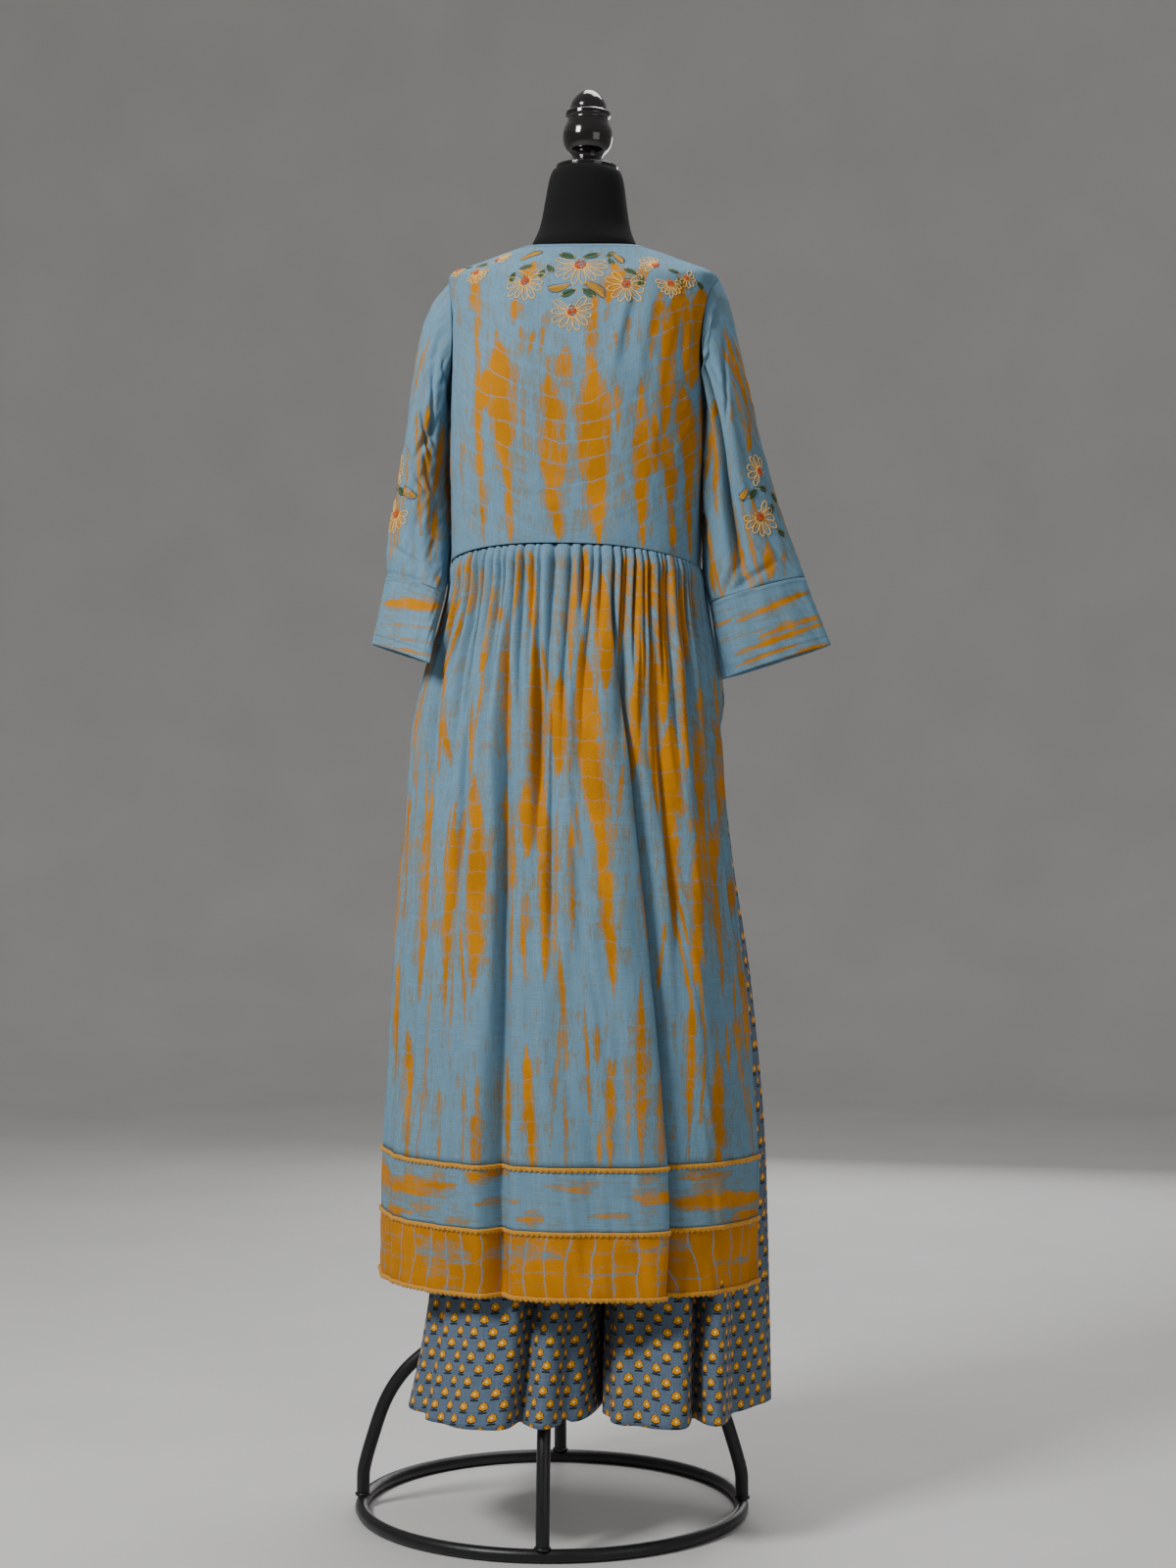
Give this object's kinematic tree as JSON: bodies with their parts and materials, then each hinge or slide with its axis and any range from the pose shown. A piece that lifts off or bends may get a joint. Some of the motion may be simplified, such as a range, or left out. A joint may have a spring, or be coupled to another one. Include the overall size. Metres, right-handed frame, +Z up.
{
  "type": "kurti set on a dress form",
  "caption": "Gathered kurti with sleeves, banded hem and side slits over wide trousers, worn by a limbless dress form on a round-bar stand.",
  "frame": {"origin": "on the floor under the middle of the whole set", "axes": "+Z up, +Y to the wearer's front, +X to the wearer's right"},
  "size_m": [0.5797, 0.4788, 1.7354],
  "materials": {
    "cloth": "soft cotton with tie-dyed streaks",
    "trim": "picot braid",
    "trousers": "block-printed cotton",
    "form": "black jersey",
    "finial": "turned, gloss black",
    "bar": "satin black"
  },
  "bodies": {
    "root": {"bodice_back": "cloth", "bodice_front": "cloth", "sleeve_right": "cloth", "sleeve_left": "cloth", "cuff_right": "cloth", "cuff_left": "cloth", "skirt_back": "cloth", "skirt_front": "cloth", "band_upper_back": "cloth", "band_upper_front": "cloth", "band_lower_back": "cloth", "band_lower_front": "cloth", "trim_top_back": "trim", "trim_top_front": "trim", "trim_middle_back": "trim", "trim_middle_front": "trim", "trim_hem_back": "trim", "trim_hem_front": "trim", "trouser_back_right": "trousers", "trouser_front_right": "trousers", "trouser_back_left": "trousers", "trouser_front_left": "trousers", "trouser_waistband": "trousers", "form_torso": "form", "form_neck": "form", "form_finial": "finial", "stand_ring": "bar", "stand_hub": "bar", "stand_post": "bar", "stand_leg_right": "bar", "stand_leg_front": "bar", "stand_leg_left": "bar", "stand_leg_rear": "bar"}
  },
  "joints": []
}
